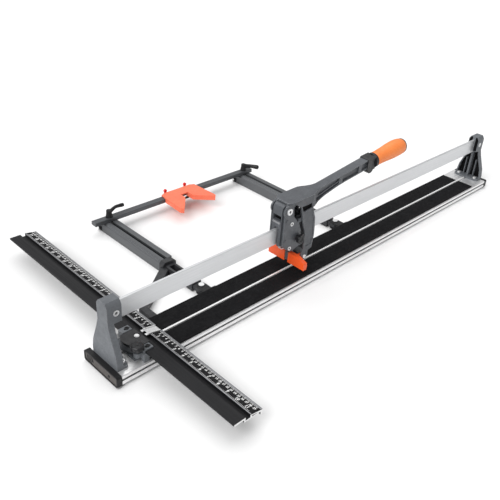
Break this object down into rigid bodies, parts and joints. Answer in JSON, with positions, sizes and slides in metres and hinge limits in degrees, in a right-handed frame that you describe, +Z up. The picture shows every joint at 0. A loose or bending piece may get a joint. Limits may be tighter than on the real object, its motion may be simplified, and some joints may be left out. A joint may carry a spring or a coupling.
{
  "type": "tile cutter",
  "caption": "Manual tile cutter with a guide rail, roller carriage and lever, swivelling fence, and folding side arms with a V-shaped corner stop.",
  "frame": {"origin": "on the resting plane, under the middle of the base, in the plane of the cutting line", "axes": "+X along the cutting line, away from the fence; +Y across it, towards the folding arms; +Z up"},
  "size_m": [1.433, 0.795, 0.2676],
  "materials": {
    "grey_casting": "satin textured grey",
    "dark_casting": "satin dark grey",
    "bare_aluminium": "extruded, satin",
    "steel": "brushed",
    "black_plastic": "moulded, matte",
    "black_rubber": "matte",
    "black_profile": "black anodised",
    "grip_orange": "soft moulded",
    "foot_orange": "moulded, satin",
    "stop_orange": "moulded, matte"
  },
  "bodies": {
    "root": {"base_extrusion": "bare_aluminium", "breaking_rib": "bare_aluminium", "pad_front": "black_rubber", "pad_rear": "black_rubber", "end_cap_near": "black_plastic", "end_cap_far": "black_plastic", "base_feet": "black_rubber", "support_near": "grey_casting", "support_far": "grey_casting", "rail": "bare_aluminium", "rail_bolts": "steel", "support_bolts": "steel", "fence_pivot_plate": "grey_casting", "fence_pin": "steel", "arm_hinge_blocks": "black_plastic", "arm_hinge_pins": "steel"},
    "fence": {"fence_profile": "black_profile", "fence_scales": "black_profile", "fence_zero_bracket": "steel", "fence_saddle": "grey_casting", "fence_sector": "black_plastic", "fence_screws": "steel"},
    "fence_knob": {"fence_knob": "black_plastic"},
    "carriage": {"carriage_column": "dark_casting", "column_bar": "steel", "cheek_front": "dark_casting", "cheek_rear": "dark_casting", "hinge_bolt": "steel", "roller_axles": "steel", "cheek_screws": "steel"},
    "roller_upper_front": {"roller_upper_front": "steel"},
    "roller_upper_rear": {"roller_upper_rear": "steel"},
    "roller_lower_front": {"roller_lower_front": "steel"},
    "roller_lower_rear": {"roller_lower_rear": "steel"},
    "lock_knob": {"lock_knob": "black_plastic"},
    "lever": {"lever_casting": "dark_casting", "lever_collar": "black_plastic", "lever_grip": "grip_orange", "grip_cap": "black_plastic", "wheel_holder": "dark_casting", "foot_bolt": "steel", "wheel_axle": "steel"},
    "scoring_wheel": {"scoring_wheel": "steel"},
    "breaker_foot": {"breaker_foot": "foot_orange"},
    "arm_near": {"arm_near": "grey_casting", "swing_bracket_near": "dark_casting", "arm_cap_near": "black_plastic"},
    "arm_far": {"arm_far": "grey_casting", "swing_bracket_far": "dark_casting", "arm_cap_far": "black_plastic"},
    "clamp_near": {"clamp_bolt_near": "steel"},
    "clamp_far": {"clamp_bolt_far": "steel"},
    "clamp_lever_near": {"clamp_lever_near": "black_plastic"},
    "clamp_lever_far": {"clamp_lever_far": "black_plastic"},
    "cross_bar": {"cross_bar": "grey_casting"},
    "v_stop": {"v_stop": "stop_orange"},
    "thumb_screw_left": {"thumb_screw_left": "stop_orange"},
    "thumb_screw_right": {"thumb_screw_right": "stop_orange"}
  },
  "joints": [
    {"name": "fence_swivel", "type": "hinge", "parent": "root", "child": "fence", "pos_m": [-0.6295, 0, 0.05], "axis": [0, 0, 1], "range_deg": [0, 30]},
    {"name": "fence_knob_turn", "type": "hinge", "parent": "fence", "child": "fence_knob", "pos_m": [-0.6535, -0.035, 0.058], "axis": [0, 0, 1], "continuous": true},
    {"name": "carriage_slide", "type": "slide", "parent": "root", "child": "carriage", "axis": [1, 0, 0], "range_m": [-0.315, 0.755]},
    {"name": "roller_upper_front_spin", "type": "hinge", "parent": "carriage", "child": "roller_upper_front", "pos_m": [-0.2125, 0, 0.17055], "axis": [0, 1, 0], "continuous": true},
    {"name": "roller_upper_rear_spin", "type": "hinge", "parent": "carriage", "child": "roller_upper_rear", "pos_m": [-0.1445, 0, 0.17055], "axis": [0, 1, 0], "continuous": true},
    {"name": "roller_lower_front_spin", "type": "hinge", "parent": "carriage", "child": "roller_lower_front", "pos_m": [-0.2125, 0, 0.10595], "axis": [0, 1, 0], "continuous": true},
    {"name": "roller_lower_rear_spin", "type": "hinge", "parent": "carriage", "child": "roller_lower_rear", "pos_m": [-0.1445, 0, 0.10595], "axis": [0, 1, 0], "continuous": true},
    {"name": "lock_knob_turn", "type": "hinge", "parent": "carriage", "child": "lock_knob", "pos_m": [-0.1865, -0.028, 0.126], "axis": [0, -1, 0], "continuous": true},
    {"name": "lever_swing", "type": "hinge", "parent": "carriage", "child": "lever", "pos_m": [-0.2245, 0, 0.206], "axis": [0, 1, 0], "range_deg": [-16, 6]},
    {"name": "scoring_wheel_spin", "type": "hinge", "parent": "lever", "child": "scoring_wheel", "pos_m": [-0.1735, 0, 0.064], "axis": [0, 1, 0], "continuous": true},
    {"name": "breaker_foot_tilt", "type": "hinge", "parent": "lever", "child": "breaker_foot", "pos_m": [-0.1595, 0, 0.066], "axis": [0, 1, 0], "range_deg": [-8, 5], "stiffness_Nm_per_rad": 4},
    {"name": "arm_near_fold", "type": "hinge", "parent": "root", "child": "arm_near", "pos_m": [-0.3885, 0.082, 0.0135], "axis": [0, 0, 1], "range_deg": [-75, 0]},
    {"name": "arm_far_fold", "type": "hinge", "parent": "root", "child": "arm_far", "pos_m": [0.104, 0.082, 0.0135], "axis": [0, 0, 1], "range_deg": [-75, 0]},
    {"name": "clamp_near_slide", "type": "slide", "parent": "arm_near", "child": "clamp_near", "axis": [0, 1, 0], "range_m": [-0.12, 0]},
    {"name": "clamp_far_slide", "type": "slide", "parent": "arm_far", "child": "clamp_far", "axis": [0, 1, 0], "range_m": [-0.12, 0]},
    {"name": "cross_bar_turn", "type": "hinge", "parent": "clamp_near", "child": "cross_bar", "pos_m": [-0.3885, 0.454, 0.0365], "axis": [0, 0, 1], "range_deg": [0, 75]},
    {"name": "v_stop_slide", "type": "slide", "parent": "cross_bar", "child": "v_stop", "axis": [1, 0, 0], "range_m": [-0.13, 0.14]},
    {"name": "clamp_lever_near_turn", "type": "hinge", "parent": "clamp_near", "child": "clamp_lever_near", "pos_m": [-0.3885, 0.454, 0.05], "axis": [0, 0, 1], "range_deg": [0, 150]},
    {"name": "clamp_lever_far_turn", "type": "hinge", "parent": "clamp_far", "child": "clamp_lever_far", "pos_m": [0.104, 0.454, 0.05], "axis": [0, 0, 1], "range_deg": [0, 150]},
    {"name": "thumb_screw_left_turn", "type": "hinge", "parent": "v_stop", "child": "thumb_screw_left", "pos_m": [-0.1855, 0.475, 0.0365], "axis": [0, 1, 0], "continuous": true},
    {"name": "thumb_screw_right_turn", "type": "hinge", "parent": "v_stop", "child": "thumb_screw_right", "pos_m": [-0.1145, 0.475, 0.0365], "axis": [0, 1, 0], "continuous": true}
  ],
  "couplings": [
    {"joint": "roller_upper_front_spin", "follows": "carriage_slide", "rad_per_m": 90.909},
    {"joint": "roller_upper_rear_spin", "follows": "carriage_slide", "rad_per_m": 90.909},
    {"joint": "roller_lower_front_spin", "follows": "carriage_slide", "rad_per_m": -90.909},
    {"joint": "roller_lower_rear_spin", "follows": "carriage_slide", "rad_per_m": -90.909},
    {"joint": "arm_far_fold", "follows": "arm_near_fold", "ratio": 1},
    {"joint": "cross_bar_turn", "follows": "arm_near_fold", "ratio": -1},
    {"joint": "clamp_far_slide", "follows": "clamp_near_slide", "ratio": 1}
  ]
}
